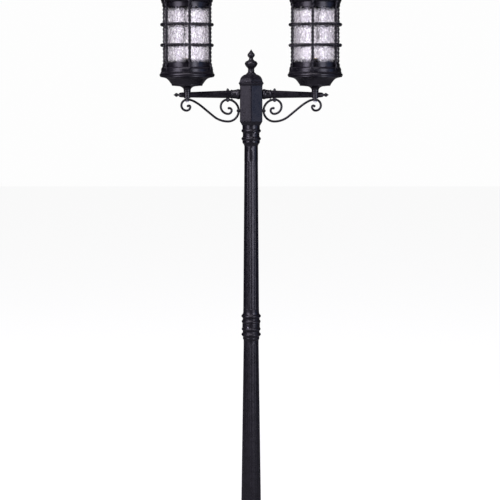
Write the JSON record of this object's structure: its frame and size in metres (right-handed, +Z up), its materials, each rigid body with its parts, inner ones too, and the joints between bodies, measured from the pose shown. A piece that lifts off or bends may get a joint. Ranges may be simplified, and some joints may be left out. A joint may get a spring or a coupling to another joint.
{
  "type": "street lamp post",
  "caption": "Cast street lamp post with a fluted shaft, a hexagonal hub and a caged round lantern on each arm, with hinged roofs and a service door.",
  "frame": {"origin": "centre of the foot plate's underside", "axes": "+Z up along the post; the arms lie along X; the front faces -Y and the service door faces +Y"},
  "size_m": [0.7656, 0.3, 2.5494],
  "materials": {
    "cast_black": "satin powder coat on a sand casting",
    "bar_black": "satin powder coat",
    "black_hardware": "satin",
    "screw_steel": "bright, turned",
    "zinc_steel": "zinc plated",
    "water_glass": "clear, wavy and seeded",
    "opal_glass": "opal white",
    "seal_rubber": "matte",
    "holder_plastic": "moulded",
    "brass": "plain",
    "lead_sheath": "matte sheath",
    "block_plastic": "moulded",
    "plate_board": "pressed board"
  },
  "bodies": {
    "post": {"acorn_nuts": "black_hardware", "arm_finials": "cast_black", "arm_nuts": "zinc_steel", "base_pedestal": "cast_black", "base_set_screws": "screw_steel", "bracket_screws": "black_hardware", "bulb_caps": "brass", "capital": "cast_black", "capital_screw": "screw_steel", "coupling_screws": "screw_steel", "door_gasket": "seal_rubber", "door_hinge_pin": "zinc_steel", "glass_seals": "seal_rubber", "hub": "cast_black", "hub_cap": "cast_black", "hub_finial": "cast_black", "hub_tie_rod": "zinc_steel", "left_arm": "cast_black", "left_bowl": "cast_black", "left_bulb": "opal_glass", "left_cage": "cast_black", "left_glass": "water_glass", "left_lamp_holder": "holder_plastic", "left_lead": "lead_sheath", "left_lower_collar": "cast_black", "left_scroll": "bar_black", "left_stem": "cast_black", "left_upper_collar": "cast_black", "lower_shaft": "cast_black", "plate_screws": "screw_steel", "right_arm": "cast_black", "right_bowl": "cast_black", "right_bulb": "opal_glass", "right_cage": "cast_black", "right_glass": "water_glass", "right_lamp_holder": "holder_plastic", "right_lead": "lead_sheath", "right_lower_collar": "cast_black", "right_scroll": "bar_black", "right_stem": "cast_black", "right_upper_collar": "cast_black", "roof_hinge_pins": "zinc_steel", "shaft_coupling": "cast_black", "shaft_set_screw": "black_hardware", "stem_nuts": "zinc_steel", "stem_rods": "zinc_steel", "terminal_block": "block_plastic", "terminal_plate": "plate_board", "terminal_screws": "brass", "upper_shaft": "cast_black"},
    "left_lid": {"left_roof": "cast_black", "left_crown": "cast_black", "left_roof_finial": "cast_black"},
    "left_thumb": {"left_thumb_screw": "black_hardware"},
    "right_lid": {"right_roof": "cast_black", "right_crown": "cast_black", "right_roof_finial": "cast_black"},
    "right_thumb": {"right_thumb_screw": "black_hardware"},
    "door": {"service_door": "cast_black"},
    "lock": {"door_lock": "zinc_steel"}
  },
  "joints": [
    {"name": "left_roof_hinge", "type": "hinge", "parent": "post", "child": "left_lid", "pos_m": [-0.2675, 0.121, 2.4069], "axis": [-1, 0, 0], "range_deg": [0, 100]},
    {"name": "left_thumb_screw_turn", "type": "hinge", "parent": "left_lid", "child": "left_thumb", "pos_m": [-0.2675, -0.12, 2.4084], "axis": [0, 0, 1], "continuous": true},
    {"name": "right_roof_hinge", "type": "hinge", "parent": "post", "child": "right_lid", "pos_m": [0.2675, 0.121, 2.4069], "axis": [-1, 0, 0], "range_deg": [0, 100]},
    {"name": "right_thumb_screw_turn", "type": "hinge", "parent": "right_lid", "child": "right_thumb", "pos_m": [0.2675, -0.12, 2.4084], "axis": [0, 0, 1], "continuous": true},
    {"name": "service_door_hinge", "type": "hinge", "parent": "post", "child": "door", "pos_m": [-0.04602, 0.07087, 0.109], "axis": [0, 0, 1], "range_deg": [0, 110]},
    {"name": "door_lock_turn", "type": "hinge", "parent": "door", "child": "lock", "pos_m": [0.02736, 0.07518, 0.109], "axis": [0.342, 0.9397, 0], "range_deg": [0, 90]}
  ]
}
